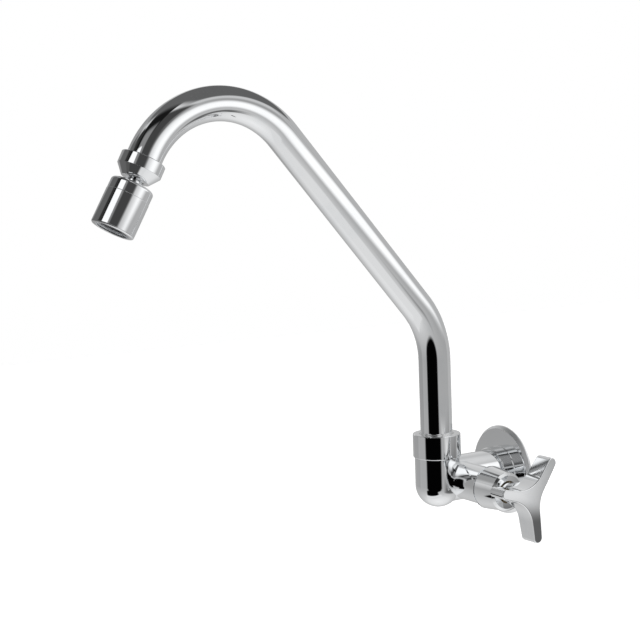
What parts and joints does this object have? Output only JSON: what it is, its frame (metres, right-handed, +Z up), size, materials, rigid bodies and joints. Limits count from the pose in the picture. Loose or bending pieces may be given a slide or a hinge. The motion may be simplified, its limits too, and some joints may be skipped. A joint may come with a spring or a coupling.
{
  "type": "wall-mounted kitchen faucet",
  "caption": "Wall-mounted kitchen faucet: chromed body on a round flange, three-armed valve handle, long swivelling gooseneck spout and a ball-jointed aerator head.",
  "frame": {"origin": "middle of the threaded inlet at the finished wall plane", "axes": "+Y into the wall along the inlet, +Z up along the spout's swivel axis, +X to the handle side"},
  "size_m": [0.1168, 0.3174, 0.304],
  "materials": {
    "chromed_casting": "bright chrome plate on a polished brass casting",
    "chromed_sheet": "bright chrome plate on pressed brass",
    "chromed_turning": "bright chrome plate on turned brass",
    "chromed_handle": "bright chrome plate on a die-cast handle",
    "chromed_tube": "bright chrome plate on bent brass tube",
    "chromed_ball": "bright chrome plate, polished ball",
    "chromed_head": "bright chrome plate on turned brass",
    "bright_ring": "polished metal slip ring",
    "bare_brass": "turned, unplated",
    "spring_steel": "stainless",
    "screen_steel": "woven stainless wire",
    "seal_rubber": "black nitrile rubber",
    "seal_fibre": "dark gasket",
    "slip_plastic": "white acetal",
    "aerator_plastic": "dark moulded plastic",
    "ceramic": "lapped alumina, drawn as a gloss solid"
  },
  "bodies": {
    "root": {"valve_body": "chromed_casting", "wall_flange": "chromed_sheet", "flange_o_ring": "seal_rubber", "bonnet_cover": "chromed_turning", "cartridge_housing": "bare_brass", "cartridge_gasket": "seal_fibre", "seat_seal": "seal_rubber", "fixed_disc": "ceramic", "swivel_nut": "chromed_turning", "bearing_ring": "bright_ring", "thrust_washer": "slip_plastic"},
    "handle": {"spindle": "bare_brass", "spindle_o_rings": "seal_rubber", "slip_washer": "slip_plastic", "moving_disc": "ceramic", "spindle_clip": "spring_steel", "handle": "chromed_handle", "handle_set_screw": "spring_steel"},
    "spout": {"spout_tube": "chromed_tube", "spout_ferrule": "bare_brass", "ferrule_o_rings": "seal_rubber", "end_ferrule": "bare_brass", "end_nut": "chromed_turning", "end_washer": "seal_rubber", "ball_stem": "chromed_ball"},
    "race": {"ball_race": "slip_plastic"},
    "head": {"head_cap": "chromed_head", "ball_seal": "seal_rubber", "head_sleeve": "chromed_head", "sleeve_washer": "seal_rubber", "aerator_shell": "aerator_plastic", "aerator_diffuser": "aerator_plastic", "aerator_screens": "screen_steel"}
  },
  "joints": [
    {"name": "spout_swivel", "type": "hinge", "parent": "root", "child": "spout", "pos_m": [0, -0.0582, 0.034], "axis": [0, 0, 1], "range_deg": [-95, 95]},
    {"name": "handle_turn", "type": "hinge", "parent": "root", "child": "handle", "pos_m": [0.07, -0.043, 0], "axis": [1, 0, 0], "range_deg": [0, 90]},
    {"name": "head_spin", "type": "hinge", "parent": "spout", "child": "race", "pos_m": [0, -0.27968, 0.20786], "axis": [0, -0.4679, -0.8838], "continuous": true},
    {"name": "head_tilt", "type": "hinge", "parent": "race", "child": "head", "pos_m": [0, -0.27968, 0.20786], "axis": [1, 0, 0], "range_deg": [-13, 16]}
  ]
}
